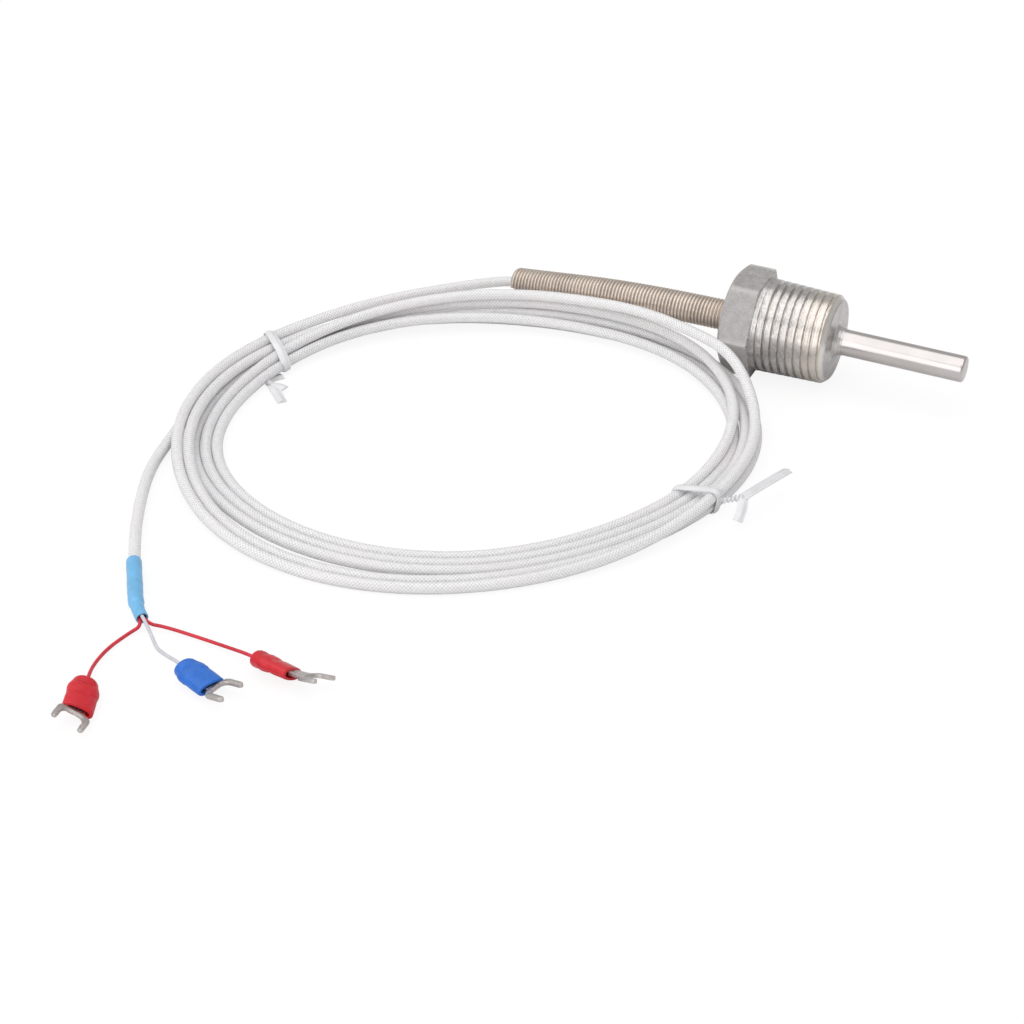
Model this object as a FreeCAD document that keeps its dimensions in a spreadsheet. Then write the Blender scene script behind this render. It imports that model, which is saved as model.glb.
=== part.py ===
"""Screw-in resistance temperature sensor with its shielded lead, lying on a flat surface.

The sensor's axis runs along X with the probe tip towards +X. The origin is on the surface,
below the axis, at the rear face of the hexagon.
"""
import FreeCAD, Part
import Sketcher
import math
import os
import re

from FreeCAD import Placement, Rotation, Vector

# Driving dimensions in millimetres and degrees.
SIZES = [
    # hexagon and half-inch taper pipe thread
    ("hex_flats", 22.0), ("hex_length", 7.5), ("hex_chamfer_slope", 0.577), ("hex_face", 20.6),
    ("blank_rear_dia", 21.5), ("blank_nose_dia", 20.5), ("blank_end", 23.7), ("nose_face_dia", 18.7),
    ("nose_end", 24.8), ("flare_root_dia", 8.8), ("flare_waist_dia", 6.9), ("flare_waist", 25.6),
    ("flare_tip_dia", 6.3), ("flare_end", 26.9), ("weld_root_dia", 5.6), ("weld_root", 0.6),
    ("thread_pitch", 1.814), ("thread_start", 8.6165), ("thread_floor_dia", 19.2), ("groove_floor", 0.36),
    ("groove_slope", 0.4),
    ("cavity_dia", 9.0), ("cavity_front", 14.8), ("spring_bore_dia", 7.1), ("spring_bore", 3.3),
    # probe
    ("sheath_dia", 6.0), ("sheath_wall", 0.5), ("probe_reach", 55.0), ("tip_wall", 0.8),
    ("tip_round", 0.6), ("element_dia", 2.8), ("element_rear", 41.0), ("element_length", 12.0),
    ("filler_rear", 36.0), ("core_dia", 0.9), ("core_ring", 0.65), ("cable_inset", 8.0),
    # strain relief spring
    ("spring_dia", 7.0), ("wire_dia", 0.82), ("turn_valley", 0.26), ("spring_reach", 55.0),
    ("bend_place", 20.0), ("bend_angle", 8.9), ("bend_lean", 23.0), ("spring_sides", 20.0),
    # lead
    ("cable_dia", 2.45), ("exit_run", 4.0),
    ("coil_x", -38.6), ("coil_y", -62.2), ("coil_long", 60.5), ("coil_short", 53.0), ("coil_turn", 48.4),
    ("coil_base_width", 7.2), ("coil_top_width", 2.6), ("coil_flank", 3.6), ("coil_top", 8.0),
    ("shrink_dia", 3.15), ("shrink_length", 15.2), ("shrink_lap", 12.2), ("shrink_rounding", 0.5),
    ("shrink_inset", 3.8), ("shrink_shoulder", 1.0), ("shrink_end_dia", 2.6), ("shrink_end_bore", 2.2),
    ("shrink_neck", 4.0), ("lead_dia", 0.72), ("lead_ring", 0.53), ("lead_fan", 1.8),
    ("lead_straight", 1.5),
    # fork terminals
    ("sleeve_length", 8.7), ("sleeve_back_wide", 5.0), ("sleeve_back_high", 3.5),
    ("sleeve_mid_wide", 6.2), ("sleeve_mid_high", 3.4), ("sleeve_front_wide", 6.0),
    ("sleeve_front_high", 2.6), ("mouth_wide", 4.6), ("mouth_high", 1.5), ("mouth_depth", 2.4),
    ("barrel_dia", 2.3), ("barrel_start", 1.8), ("barrel_end", 6.3), ("barrel_wall", 1.0),
    ("entry_dia", 1.5), ("fork_thick", 0.8), ("fork_round", 0.6), ("fork_wide", 6.6), ("slot_wide", 4.3),
    ("slot_start", 9.9), ("shank_wide", 3.2), ("fork_shoulder", 9.4), ("fork_reach", 13.9),
    ("slot_corner", 1.3),
    # twist ties
    ("tie_wide", 2.6), ("tie_thick", 0.7), ("tie_gap", 0.1), ("knot_dia", 2.0), ("knot_length", 3.2),
    ("knot_height", 1.4),
]

# Points of the lead's free runs: x, y and height of the middle of the cord.
LEAD_IN_ROUTE = [(-69.5, -5.2, 4.4), (-79.5, -16.0, 4.2), (-87.0, -28.5, 4.2), (-91.0, -42.0, 4.2)]
TAIL_ROUTE = [(-94.6, -79.5, 2.2), (-95.3, -91.0, 1.3), (-93.0, -103.5, 1.25), (-87.3, -117.0, 1.3),
              (-79.5, -131.8, 1.68)]
SHRINK_HEADING = 303.2
BREAKOUT_BEND = 16.0
RED_LEFT_ROUTE = [(-65.9, -156.0, 0.5), (-66.2, -161.5, 0.45), (-65.8, -167.0, 1.0)]
WHITE_ROUTE = [(-61.4, -154.4, 0.7), (-57.4, -157.2, 0.6)]
RED_RIGHT_ROUTE = [(-60.0, -150.6, 1.0), (-53.0, -151.3, 0.5), (-46.6, -152.0, 1.1)]

# Fork terminals: place of the sleeve's back end, heading in degrees, roll about the axis.
TERMINALS = {
    "left": (Vector(-63.7, -173.5, 2.1), 292.0, -26.0),
    "middle": (Vector(-50.5, -161.0, 1.78), 337.0, 0.0),
    "right": (Vector(-39.3, -153.3, 2.25), 350.0, -32.0),
}

# Twist ties: place in degrees round the coil, the side with the knot (0 outwards, 180 inwards),
# and each loose end's angle off that side with its length.
TIES = {
    "rear": (117.0, 180.0, [(9.0, 6.0), (-22.0, 9.0)]),
    "front": (308.0, 0.0, [(74.0, 14.0), (-68.0, 7.0)]),
}

# Height of the sensor's axis: the hexagon lies on one of its flats.
AXIS_HEIGHT = "hex_flats / 2"

# Share of the shorter run beside a corner that its arc takes up.
ARC_SHARE = 0.45

doc = FreeCAD.newDocument("temperature_sensor")
sheet = doc.addObject("Spreadsheet::Sheet", "Sizes")
for row, (alias, number) in enumerate(SIZES, start=1):
    sheet.set(f"A{row}", alias)
    sheet.set(f"B{row}", str(number))
    sheet.setAlias(f"B{row}", alias)
doc.recompute()

nodes = []


def value(expression):
    """Number that an expression of the sheet's aliases gives."""
    return float(sheet.evalExpression(expression))


def size(alias):
    return float(sheet.get(alias))


def node(piece, label):
    """Marks a document object as a sub-part with its own name."""
    piece.Label = label
    nodes.append(piece)
    return piece


def shape_node(label, shape):
    """A sub-part whose form is made directly from edges and faces."""
    piece = doc.addObject("Part::Feature", label)
    piece.Shape = shape
    return node(piece, label)


def linked(expression):
    """The same expression with each alias named through the sheet."""
    aliases = "|".join(alias for alias, _ in SIZES)
    return re.sub(rf"\b({aliases})\b", r"Sizes.\1", expression)


def bind(piece, **expressions):
    """Ties properties to the sheet; two underscores in a name stand for a dot."""
    for name, expression in expressions.items():
        piece.setExpression(name.replace("__", "."), linked(expression))
    return piece


def bar_along_x(name, dia, start, length, y="0", z="0"):
    """Round bar along X."""
    bar = doc.addObject("Part::Cylinder", name)
    bar.Placement = Placement(Vector(0, 0, 0), Rotation(Vector(0, 1, 0), 90))
    return bind(bar, Radius=f"({dia}) / 2", Height=length, Placement__Base__x=start,
                Placement__Base__y=y, Placement__Base__z=z)


def block(name, start, length, wide, high):
    """Block along X, centred on the X axis."""
    box = doc.addObject("Part::Box", name)
    return bind(box, Length=length, Width=wide, Height=high, Placement__Base__x=start,
                Placement__Base__y=f"-({wide}) / 2", Placement__Base__z=f"-({high}) / 2")


def cut(name, base, *tools):
    """Base with every tool taken out of it."""
    tool = tools[0]
    if len(tools) > 1:
        tool = doc.addObject("Part::MultiFuse", f"{name}_tools")
        tool.Shapes = list(tools)
    result = doc.addObject("Part::Cut", name)
    result.Base = base
    result.Tool = tool
    return result


def origin_plane(body, role):
    return next(f for f in body.Origin.OriginFeatures if f.Role == role)


def outline(body, name, role, corners):
    """Closed sketch of straight edges, each corner held by two expressions of the sheet."""
    sketch = body.newObject("Sketcher::SketchObject", name)
    sketch.AttachmentSupport = (origin_plane(body, role), [""])
    sketch.MapMode = "FlatFace"
    places = [Vector(value(across), value(up), 0) for across, up in corners]
    count = len(places)
    for i in range(count):
        sketch.addGeometry(Part.LineSegment(places[i], places[(i + 1) % count]), False)
    for i in range(count):
        sketch.addConstraint(Sketcher.Constraint("Coincident", i, 2, (i + 1) % count, 1))
    for i, pair in enumerate(corners):
        for kind, letter, expression in zip(("DistanceX", "DistanceY"), "xy", pair):
            place = places[i].x if letter == "x" else places[i].y
            index = sketch.addConstraint(Sketcher.Constraint(kind, -1, 1, i, 1, place))
            sketch.renameConstraint(index, f"{letter}{i}")
            sketch.setExpression(f"Constraints.{letter}{i}", linked(expression))
    return sketch


def turned(body, name, corners, kind="PartDesign::Revolution"):
    """Turned feature: a half section in the XZ plane, spun about the body's X axis."""
    sketch = outline(body, f"{name}_section", "XZ_Plane", corners)
    feature = body.newObject(kind, name)
    feature.Profile = sketch
    feature.ReferenceAxis = (sketch, ["H_Axis"])
    feature.Angle = 360.0
    doc.recompute()
    return feature


def body_on_axis(label):
    """New body whose own X axis is the sensor's axis."""
    body = doc.addObject("PartDesign::Body", label)
    bind(body, Placement__Base__z=AXIS_HEIGHT)
    return node(body, label)


def make_hex_fitting():
    """Hexagon, taper thread, a welded flare round the probe, and the bores."""
    body = body_on_axis("hex_fitting")
    corner = "hex_flats / 2 / cos(30 deg)"
    hexagon = outline(body, "hexagon", "YZ_Plane", [
        (f"{corner} * cos({60 * i} deg)", f"{corner} * sin({60 * i} deg)") for i in range(6)])
    pad = body.newObject("PartDesign::Pad", "hexagon_bar")
    pad.Profile = hexagon
    bind(pad, Length="hex_length")
    doc.recompute()
    plain = pad.Shape.Volume
    turned(body, "rear_chamfer", [
        ("0", "hex_face / 2"), ("0", f"{corner} + 1"),
        (f"({corner} + 1 - hex_face / 2) * hex_chamfer_slope", f"{corner} + 1")], "PartDesign::Groove")
    if body.Tip.Shape.Volume > plain - 1.0:
        raise ValueError("the hexagon's chamfer cuts nothing")
    turned(body, "thread_blank", [
        ("hex_length / 2", "0"), ("hex_length / 2", "blank_rear_dia / 2"),
        ("hex_length", "blank_rear_dia / 2"), ("blank_end", "blank_nose_dia / 2"),
        ("nose_end", "nose_face_dia / 2"), ("nose_end", "flare_root_dia / 2"),
        ("flare_waist", "flare_waist_dia / 2"), ("flare_end", "flare_tip_dia / 2"), ("flare_end", "0")])
    cut_thread(body)
    solid = body.Tip.Shape.Volume
    turned(body, "bores", [
        ("-1", "0"), ("-1", "spring_bore_dia / 2"), ("spring_bore", "spring_bore_dia / 2"),
        ("spring_bore", "cavity_dia / 2"), ("cavity_front", "cavity_dia / 2"),
        ("cavity_front", "sheath_dia / 2"), ("flare_end - weld_root", "sheath_dia / 2"),
        ("flare_end - weld_root", "weld_root_dia / 2"), ("flare_end + 1", "weld_root_dia / 2"),
        ("flare_end + 1", "0")],
        "PartDesign::Groove")
    if body.Tip.Shape.Volume > solid - 1.0:
        raise ValueError("the fitting's bores cut nothing")


def cut_thread(body):
    """Helical groove of the thread, from beside the hexagon out over the nose."""
    rim = "blank_rear_dia / 2 + 0.2"
    half = f"groove_floor / 2 + ({rim} - thread_floor_dia / 2) * groove_slope"
    section = outline(body, "groove_section", "XZ_Plane", [
        (f"thread_start - ({half})", rim), (f"thread_start + {half}", rim),
        ("thread_start + groove_floor / 2", "thread_floor_dia / 2"),
        ("thread_start - groove_floor / 2", "thread_floor_dia / 2")])
    blank = body.Tip.Shape.Volume
    groove = body.newObject("PartDesign::SubtractiveHelix", "thread_groove")
    groove.Profile = section
    groove.ReferenceAxis = (section, ["H_Axis"])
    groove.Mode = "pitch-height-angle"
    bind(groove, Pitch="thread_pitch", Height="nose_end - thread_start + thread_pitch / 2")
    doc.recompute()
    if body.Tip.Shape.Volume > blank - 150.0:
        raise ValueError("the thread's groove cuts too little")


def make_probe_sheath():
    """Closed thin tube with a flat, slightly rounded tip."""
    body = body_on_axis("probe_sheath")
    inner = "sheath_dia / 2 - sheath_wall"
    casing = turned(body, "casing", [
        ("cavity_front", inner), ("cavity_front", "sheath_dia / 2"),
        ("flare_end - weld_root", "sheath_dia / 2"), ("flare_end - weld_root", "weld_root_dia / 2"),
        ("flare_end", "weld_root_dia / 2"), ("flare_end", "sheath_dia / 2"),
        ("probe_reach", "sheath_dia / 2"), ("probe_reach", "0"), ("probe_reach - tip_wall", "0"),
        ("probe_reach - tip_wall", inner)])
    near = 0.01
    rim = [f"Edge{i}" for i, edge in enumerate(casing.Shape.Edges, start=1)
           if edge.BoundBox.XMin > size("probe_reach") - near
           and edge.BoundBox.YLength > size("sheath_dia") - near]
    rounding = body.newObject("PartDesign::Fillet", "tip_rounding")
    rounding.Base = (casing, rim)
    bind(rounding, Radius="tip_round")
    doc.recompute()


def make_probe_core():
    """Sensing element, its three cores, and the powder and resin that hold them."""
    element = bar_along_x("sensing_element", "element_dia", "element_rear", "element_length", z=AXIS_HEIGHT)
    node(element, "sensing_element")
    cores = []
    for label, angle in (("core_red_one", 90), ("core_red_two", 210), ("core_white", 330)):
        core = bar_along_x(label, "core_dia", "cable_inset", "element_rear - cable_inset",
                           y=f"core_ring * cos({angle} deg)",
                           z=f"{AXIS_HEIGHT} + core_ring * sin({angle} deg)")
        cores.append(node(core, label))
    powder = bar_along_x("powder", "sheath_dia - 2 * sheath_wall", "filler_rear",
                         "probe_reach - tip_wall - filler_rear", z=AXIS_HEIGHT)
    node(cut("tip_filler", powder, element, *cores), "tip_filler")
    resin = bar_along_x("resin", "cavity_dia", "spring_bore", "cavity_front - spring_bore", z=AXIS_HEIGHT)
    socket = bar_along_x("cable_socket", "cable_dia", "spring_bore", "cable_inset - spring_bore",
                         z=AXIS_HEIGHT)
    node(cut("potting_plug", resin, socket, *cores), "potting_plug")


def rounded_route(points, name):
    """Wire of straight runs joined by arcs as large as the runs beside them allow."""
    edges = []
    start = points[0]
    radii = []
    for before, corner, after in zip(points, points[1:], points[2:]):
        run_in = corner - before
        run_out = after - corner
        turn = run_in.getAngle(run_out)
        reach = ARC_SHARE * min(run_in.Length, run_out.Length)
        radius = reach / math.tan(turn / 2)
        radii.append(round(radius, 1))
        into = run_in.normalize()
        out_of = run_out.normalize()
        arc_start = corner - into * reach
        arc_end = corner + out_of * reach
        inward = (out_of - into).normalize()
        middle = corner + inward * (radius / math.cos(turn / 2) - radius)
        edges.append(Part.LineSegment(start, arc_start).toShape())
        edges.append(Part.Arc(arc_start, middle, arc_end).toShape())
        start = arc_end
    edges.append(Part.LineSegment(start, points[-1]).toShape())
    print(name, "bend radii", radii)
    return Part.Wire(edges)


def tube(path, dia, name):
    """Round bar swept along a path, its volume tested against section times length."""
    first = path.OrderedEdges[0]
    place = first.valueAt(first.FirstParameter)
    heading = first.tangentAt(first.FirstParameter)
    ring = Part.Wire([Part.makeCircle(dia / 2, place, heading)])
    bar = path.makePipeShell([ring], True, True)
    expected = math.pi * dia ** 2 / 4 * path.Length
    if abs(bar.Volume - expected) > 0.01 * expected:
        raise ValueError(f"{name}: swept volume {bar.Volume:.2f}, expected {expected:.2f}")
    return bar


def spring_points():
    """Corner points of the spring's middle line, from inside the fitting to its free end."""
    axis = value(AXIS_HEIGHT)
    bend = math.radians(size("bend_angle"))
    lean = math.radians(size("bend_lean"))
    heading = Vector(-math.cos(bend), math.sin(bend) * math.sin(lean), -math.sin(bend) * math.cos(lean))
    corner = Vector(-size("bend_place"), 0, axis)
    tip_overhang = size("spring_dia") / 2 * math.sin(bend)
    last_run = (size("spring_reach") - size("bend_place") - tip_overhang) / math.cos(bend)
    return Vector(size("cable_inset"), 0, axis), corner, corner + heading * last_run, heading


def place_on(path, distance):
    """Point and heading at a distance along a path."""
    for edge in path.OrderedEdges:
        if distance <= edge.Length + 1e-6:
            at = edge.getParameterByLength(min(distance, edge.Length))
            return edge.valueAt(at), edge.tangentAt(at)
        distance -= edge.Length
    raise ValueError("distance past the end of the path")


def make_spring():
    """Close-wound spring: a ridge for each turn along the bent middle line, with an open bore."""
    start, corner, end, _ = spring_points()
    path = rounded_route([start, corner, end], "strain_relief_spring")
    first = size("cable_inset") - size("spring_bore")
    turns = int((path.Length - first) / size("wire_dia"))
    pitch = (path.Length - first) / turns
    sides = int(size("spring_sides"))
    crest = size("spring_dia") / 2
    valley = crest - size("turn_valley")
    rings = []
    for step in range(2 * turns + 1):
        middle, heading = place_on(path, first + step * pitch / 2)
        side = heading.cross(Vector(0, 0, 1)).normalize()
        over = side.cross(heading).normalize()
        radius = crest if step % 2 else valley
        corners = [middle + (side * math.cos(a) + over * math.sin(a)) * radius
                   for a in (2 * math.pi * i / sides for i in range(sides))]
        rings.append(Part.makePolygon(corners + corners[:1]))
    ridged = Part.makeLoft(rings, True, True)
    bore = tube(path, size("spring_dia") - 2 * size("wire_dia"), "spring bore")
    shape_node("strain_relief_spring", ridged.cut(bore))


def make_coil():
    """Outer form of the tied coil: an oval ring with sloping shoulders."""
    middle = Vector(size("coil_x"), size("coil_y"), 0)
    turn = Rotation(Vector(0, 0, 1), size("coil_turn"))

    def oval(offset, height):
        ring = Part.Ellipse(Vector(0, 0, 0), size("coil_long") + offset, size("coil_short") + offset)
        wire = Part.Wire([ring.toShape()])
        wire.Placement = Placement(middle + Vector(0, 0, height), turn)
        return wire

    wide = size("coil_base_width") / 2
    narrow = size("coil_top_width") / 2
    levels = [(wide, 0.0), (wide, size("coil_flank")), (narrow, size("coil_top"))]
    outside = Part.makeLoft([oval(offset, height) for offset, height in levels], True, True)
    hole = Part.makeLoft([oval(-offset, height) for offset, height in levels], True, True)
    ring = outside.cut(hole)
    gap = size("tie_gap")
    for angle, _, _ in TIES.values():
        nip = Part.makeBox(2 * wide + 2, size("tie_wide") + 2 * gap, size("tie_thick") + gap)
        nip.translate(Vector(-wide - 1, -size("tie_wide") / 2 - gap, 0))
        nip.Placement = coil_place(angle).multiply(nip.Placement)
        ring = ring.cut(nip)
    return shape_node("cable_coil", ring)


def coil_place(angle):
    """Place on the coil's middle line, X pointing out of the coil."""
    turn = math.radians(angle)
    long_axis = size("coil_long")
    short_axis = size("coil_short")
    local = Vector(long_axis * math.cos(turn), short_axis * math.sin(turn), 0)
    outwards = math.degrees(math.atan2(math.sin(turn) / short_axis, math.cos(turn) / long_axis))
    spin = Rotation(Vector(0, 0, 1), size("coil_turn"))
    middle = Vector(size("coil_x"), size("coil_y"), 0)
    return Placement(middle + spin.multVec(local), Rotation(Vector(0, 0, 1), size("coil_turn") + outwards))


def make_cable(coil):
    """Free runs of the cable: out of the fitting to the coil, and from the coil to the breakout."""
    start, corner, end, heading = spring_points()
    leave = end + heading * size("exit_run")
    route = [start, corner, leave] + [Vector(*p) for p in LEAD_IN_ROUTE]
    lead_in = tube(rounded_route(route, "cable_lead_in"), size("cable_dia"), "cable_lead_in")
    shape_node("cable_lead_in", piece_with(lead_in.cut(coil.Shape), start))
    route = [Vector(*p) for p in TAIL_ROUTE]
    end = route[-1] + shrink_direction() * (size("shrink_inset") + size("shrink_lap"))
    tail = tube(rounded_route(route + [end], "cable_tail"), size("cable_dia"), "cable_tail")
    return shape_node("cable_tail", piece_with(tail.cut(coil.Shape), end))


def piece_with(shape, point):
    """The solid of a cut shape that still holds a point on its surface."""
    return min(shape.Solids, key=lambda solid: solid.distToShape(Part.Vertex(point))[0])


def shrink_direction():
    angle = math.radians(SHRINK_HEADING)
    return Vector(math.cos(angle), math.sin(angle), 0)


def breakout_points():
    """Start of the shrink sleeve, its bend, and its open end."""
    along = shrink_direction()
    start = Vector(*TAIL_ROUTE[-1]) + along * size("shrink_inset")
    bend = start + along * (size("shrink_length") + size("shrink_shoulder"))
    out = Rotation(Vector(0, 0, 1), BREAKOUT_BEND).multVec(along)
    return start, bend, bend + out * size("shrink_neck")


def make_breakout(tail):
    """Shrink sleeve over the end of the cable, drawn in to the three leads."""
    start, bend, end = breakout_points()
    along = shrink_direction()
    body = Part.makeCylinder(size("shrink_dia") / 2, size("shrink_length"), start, along)
    rims = [edge for edge in body.Edges if isinstance(edge.Curve, Part.Circle)]
    body = body.makeFillet(size("shrink_rounding"), rims)
    throat_start = start + along * size("shrink_lap")
    neck = rounded_route([throat_start + along, bend, end], "breakout_sleeve")
    past_end = end + (end - bend).normalize()
    throat = rounded_route([throat_start, bend, past_end], "breakout throat")
    sleeve = body.fuse(tube(neck, size("shrink_end_dia"), "breakout_sleeve"))
    sleeve = sleeve.cut(tube(throat, size("shrink_end_bore"), "breakout throat"))
    shape_node("breakout_sleeve", sleeve.cut(tail.Shape).removeSplitter())


def terminal_place(name):
    back, heading, roll = TERMINALS[name]
    turn = Rotation(Vector(0, 0, 1), heading).multiply(Rotation(Vector(1, 0, 0), roll))
    return Placement(back, turn)


def make_leads():
    """Three insulated leads from the cable's end, through the sleeve, into the fork barrels."""
    start, bend, end = breakout_points()
    along = shrink_direction()
    out = (end - bend).normalize()
    leads = {"lead_red_left": (-30.0, RED_LEFT_ROUTE, "left"), "lead_white": (90.0, WHITE_ROUTE, "middle"),
             "lead_red_right": (210.0, RED_RIGHT_ROUTE, "right")}
    for label, (round_bore, free, terminal) in leads.items():
        across = size("lead_ring") * math.cos(math.radians(round_bore))
        rise = Vector(0, 0, size("lead_ring") * math.sin(math.radians(round_bore)))
        route = [start + along * size("shrink_lap") + right_of(along) * across + rise,
                 bend + right_of(along + out) * across + rise,
                 end + out * size("lead_fan") + right_of(out) * across + rise]
        route += [Vector(*p) for p in free]
        place = terminal_place(terminal)
        barrel_floor = value("barrel_end - barrel_wall")
        route += [place.multVec(Vector(x, 0, 0)) for x in (-size("lead_straight"), barrel_floor)]
        shape_node(label, tube(rounded_route(route, label), size("lead_dia"), label))


def right_of(heading):
    """Level direction to the right of a heading."""
    return heading.cross(Vector(0, 0, 1)).normalize()


def make_fork(name):
    """Fork terminal: a U-shaped blade in one piece with its crimped barrel."""
    body = doc.addObject("PartDesign::Body", f"fork_{name}")
    half = "fork_wide / 2"
    slot = "slot_wide / 2"
    shank = "shank_wide / 2"
    upper = [("barrel_end - barrel_wall", shank), ("fork_shoulder - fork_round", shank),
             ("fork_shoulder", f"{half} - fork_round"), ("fork_shoulder + fork_round", half),
             ("fork_reach - fork_round", half), ("fork_reach", f"{half} - fork_round / 2"),
             ("fork_reach", f"{slot} + fork_round / 2"), ("fork_reach - fork_round", slot),
             ("slot_start + slot_corner", slot),
             ("slot_start + slot_corner * 0.3", f"{slot} - slot_corner * 0.3"),
             ("slot_start", f"{slot} - slot_corner")]
    lower = [(x, f"-({y})") for x, y in reversed(upper)]
    blade = outline(body, f"blade_{name}", "XY_Plane", upper + lower)
    pad = body.newObject("PartDesign::Pad", f"blade_pad_{name}")
    pad.Profile = blade
    pad.Midplane = True
    bind(pad, Length="fork_thick")
    doc.recompute()
    turned(body, f"barrel_{name}", [
        ("barrel_start", "lead_dia / 2"), ("barrel_start", "barrel_dia / 2"),
        ("barrel_end", "barrel_dia / 2"), ("barrel_end", "0"), ("barrel_end - barrel_wall", "0"),
        ("barrel_end - barrel_wall", "lead_dia / 2")])
    body.Placement = terminal_place(name)
    node(body, f"fork_{name}")


def make_sleeve(name):
    """Insulating sleeve, round at the lead and pressed flat towards the fork, with an open mouth."""
    stations = [("0", "sleeve_back_wide * 0.86", "sleeve_back_high * 0.86"),
                ("sleeve_length * 0.06", "sleeve_back_wide", "sleeve_back_high"),
                ("sleeve_length * 0.35", "sleeve_mid_wide", "sleeve_mid_high"),
                ("sleeve_length * 0.7", "sleeve_mid_wide * 0.97", "sleeve_mid_high * 0.82"),
                ("sleeve_length", "sleeve_front_wide", "sleeve_front_high")]
    across = Rotation(Vector(0, 1, 0), Vector(0, 0, 1), Vector(1, 0, 0), "ZXY")
    ovals = []
    for i, (along, wide, high) in enumerate(stations):
        oval = doc.addObject("Part::Ellipse", f"oval_{name}_{i}")
        oval.Placement = Placement(Vector(0, 0, 0), across)
        ovals.append(bind(oval, MajorRadius=f"{wide} / 2", MinorRadius=f"{high} / 2",
                          Placement__Base__x=along))
    skin = doc.addObject("Part::Loft", f"skin_{name}")
    skin.Sections = ovals
    skin.Solid = True
    barrel = bar_along_x(f"barrel_room_{name}", "barrel_dia", "barrel_start", "sleeve_length")
    entry = bar_along_x(f"entry_{name}", "entry_dia", "-1", "barrel_start + 1")
    mouth = block(f"mouth_{name}", "sleeve_length - mouth_depth", "mouth_depth + 1",
                  "mouth_wide", "mouth_high")
    shank = block(f"shank_room_{name}", "barrel_end - barrel_wall", "sleeve_length",
                  "shank_wide", "fork_thick")
    sleeve = cut(f"sleeve_{name}", skin, barrel, entry, mouth, shank)
    sleeve.Placement = terminal_place(name)
    node(sleeve, f"sleeve_{name}")


def make_tie(name, angle, side, ends):
    """Flat twist tie round the coil's section, with a twisted knot and two loose flat ends."""
    gap = size("tie_gap")
    thick = size("tie_thick")
    wide = size("tie_wide")
    base = size("coil_base_width") / 2 + gap
    top = size("coil_top_width") / 2 + gap

    def loop(grow):
        half = [(base + grow, thick - grow), (base + grow, size("coil_flank") + grow / 2),
                (top + grow, size("coil_top") + gap + grow)]
        corners = half + [(-x, z) for x, z in reversed(half)]
        points = [Vector(x, 0, z) for x, z in corners]
        return Part.Face(Part.makePolygon(points + points[:1]))

    tie = loop(thick).cut(loop(0.0)).extrude(Vector(0, wide, 0))
    tie.translate(Vector(0, -wide / 2, 0))
    turn = Rotation(Vector(0, 0, 1), side)
    knot_start = turn.multVec(Vector(base + thick / 2, 0, size("knot_height")))
    outwards = turn.multVec(Vector(1, 0, 0))
    tie = tie.fuse(Part.makeCylinder(size("knot_dia") / 2, size("knot_length"), knot_start, outwards))
    knot_end = knot_start + outwards * (size("knot_length") - thick)
    for swing, length in ends:
        strip = Part.makeBox(length, wide, thick)
        strip.translate(Vector(-thick, -wide / 2, -thick / 2))
        swung = Placement(knot_end, Rotation(Vector(0, 0, 1), side + swing))
        strip.Placement = swung.multiply(strip.Placement)
        tie = tie.fuse(strip)
    tie = tie.removeSplitter()
    tie.Placement = coil_place(angle)
    shape_node(f"twist_tie_{name}", tie)


def check_and_write():
    """Stops on any failed object or bad solid, then writes each sub-part to its own file."""
    doc.recompute()
    for piece in doc.Objects:
        if "Invalid" in piece.State or "Error" in piece.State:
            raise ValueError(f"{piece.Name}: {piece.State}")
    os.makedirs("parts", exist_ok=True)
    for piece in nodes:
        shape = piece.Shape
        if shape.isNull() or not shape.isValid() or len(shape.Solids) != 1:
            raise ValueError(f"{piece.Label}: bad shape, {len(shape.Solids)} solids")
        print(f"{piece.Label}: {shape.Volume:.1f} cubic mm, {len(shape.Faces)} faces")
    for piece in nodes:
        piece.Shape.exportStep(f"parts/{piece.Label}.step")


make_hex_fitting()
make_probe_sheath()
make_probe_core()
make_spring()
coil_ring = make_coil()
cable_end = make_cable(coil_ring)
make_breakout(cable_end)
make_leads()
for terminal in TERMINALS:
    make_fork(terminal)
    make_sleeve(terminal)
for tie_name, (tie_angle, tie_side, tie_ends) in TIES.items():
    make_tie(tie_name, tie_angle, tie_side, tie_ends)
check_and_write()
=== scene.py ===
import math

import bmesh
import bpy
from mathutils import Matrix, Vector, geometry


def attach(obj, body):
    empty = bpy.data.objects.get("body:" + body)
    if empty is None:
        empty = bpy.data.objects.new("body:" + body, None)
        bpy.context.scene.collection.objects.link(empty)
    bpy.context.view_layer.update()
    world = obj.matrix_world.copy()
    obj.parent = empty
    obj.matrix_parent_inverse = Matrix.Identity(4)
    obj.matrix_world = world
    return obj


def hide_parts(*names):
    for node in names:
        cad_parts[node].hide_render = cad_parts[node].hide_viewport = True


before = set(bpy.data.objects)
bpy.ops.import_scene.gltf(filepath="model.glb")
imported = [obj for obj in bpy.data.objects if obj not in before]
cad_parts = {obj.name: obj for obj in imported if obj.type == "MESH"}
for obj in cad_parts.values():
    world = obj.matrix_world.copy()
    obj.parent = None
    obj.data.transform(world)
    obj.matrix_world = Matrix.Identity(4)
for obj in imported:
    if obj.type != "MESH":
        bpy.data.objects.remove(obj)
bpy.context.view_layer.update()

bl_info = {
    "name": "Temperature Sensor Pieces",
    "version": (1, 0, 0),
    "blender": (4, 5, 0),
    "location": "3D View > Sidebar > Sensor",
    "description": "Builds the visible pieces and finishes of a threaded temperature sensor",
    "category": "Object",
}

# These constants are in millimetres, in the frame of the CAD model, where nothing else is said.
AXIS_UP = 11.0
HEX_LENGTH = 7.5
THREAD_TAPER = 0.0309
SPRING_START = 3.3
SPRING_FREE_END = -54.46

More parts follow.
